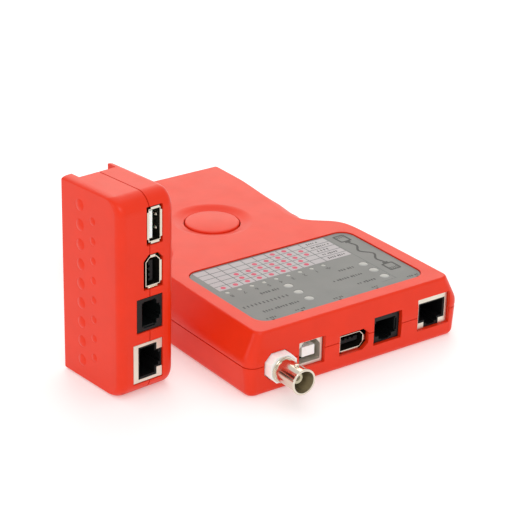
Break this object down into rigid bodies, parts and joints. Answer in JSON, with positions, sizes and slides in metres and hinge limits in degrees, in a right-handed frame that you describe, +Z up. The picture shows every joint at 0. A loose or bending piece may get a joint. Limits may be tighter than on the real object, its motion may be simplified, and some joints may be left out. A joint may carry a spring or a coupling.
{
  "type": "network cable tester",
  "caption": "Hand-held network cable tester: a main unit with a label panel, lights, a push button and cable jacks on one face, and a detachable remote unit with matching jacks.",
  "frame": {"origin": "centre of the main unit's underside, on the surface that it rests on", "axes": "+Z up out of the label face, +Y from the connector face towards the tail and docking rail, +X along the connector face from the bayonet connector to the RJ45 jack"},
  "size_m": [0.149, 0.1735, 0.0816],
  "materials": {
    "red_abs": "satin moulded ABS, coral red",
    "button_red": "satin moulded ABS, coral red",
    "label_film": "matte printed polyester film, grey",
    "black_plastic": "matte glass-filled plastic, black",
    "plated_steel": "nickel-plated pressed steel",
    "tin_shield": "tin-plated sheet, warm grey",
    "white_plastic": "smooth white plastic",
    "gold_contact": "gold-plated spring contact",
    "board": "solder-masked glass epoxy, green",
    "led_lens": "diffused white lamp body",
    "battery_wrap": "printed metal jacket, dark grey",
    "lead_pvc": "PVC wire, red and black",
    "screw_steel": "zinc-plated steel"
  },
  "bodies": {
    "main_unit": {"upper_shell": "red_abs", "lower_shell": "red_abs", "label_panel": "label_film", "tact_switch": "black_plastic", "main_pcb": "board", "display_pcb": "board", "board_header": "black_plastic", "board_components": "black_plastic", "wire_leds": "led_lens", "status_leds": "led_lens", "bnc_body": "white_plastic", "bnc_barrel": "plated_steel", "bnc_dielectric": "white_plastic", "bnc_contact": "gold_contact", "usb_b_shell": "plated_steel", "usb_b_insert": "white_plastic", "firewire_shell": "plated_steel", "firewire_insert": "black_plastic", "rj11_housing": "black_plastic", "rj11_contacts": "gold_contact", "rj45_shield": "tin_shield", "rj45_housing": "black_plastic", "rj45_contacts": "gold_contact", "battery_9v": "battery_wrap", "battery_snap": "black_plastic", "battery_leads": "lead_pvc", "case_screws": "screw_steel"},
    "test_button": {"button_cap": "button_red", "switch_plunger": "white_plastic"},
    "battery_cover": {"battery_door": "red_abs"},
    "remote_unit": {"remote_upper_shell": "red_abs", "remote_lower_shell": "red_abs", "remote_pcb": "board", "remote_components": "black_plastic", "remote_usb_shell": "plated_steel", "remote_usb_insert": "black_plastic", "remote_firewire_shell": "plated_steel", "remote_firewire_insert": "black_plastic", "remote_rj11_housing": "black_plastic", "remote_rj11_contacts": "gold_contact", "remote_rj45_shield": "tin_shield", "remote_rj45_housing": "black_plastic", "remote_rj45_contacts": "gold_contact", "remote_screws": "screw_steel"}
  },
  "joints": [
    {"name": "button_press", "type": "slide", "parent": "main_unit", "child": "test_button", "axis": [0, 0, -1], "range_m": [0, 0.0008], "stiffness_N_per_m": 800, "springref_m": -0.001},
    {"name": "battery_door_off", "type": "slide", "parent": "main_unit", "child": "battery_cover", "axis": [0, 0, -1], "range_m": [0, 0.03]},
    {"name": "remote_lift", "type": "slide", "parent": "main_unit", "child": "remote_unit", "axis": [0, 0, 1], "range_m": [0, 0.09]}
  ]
}
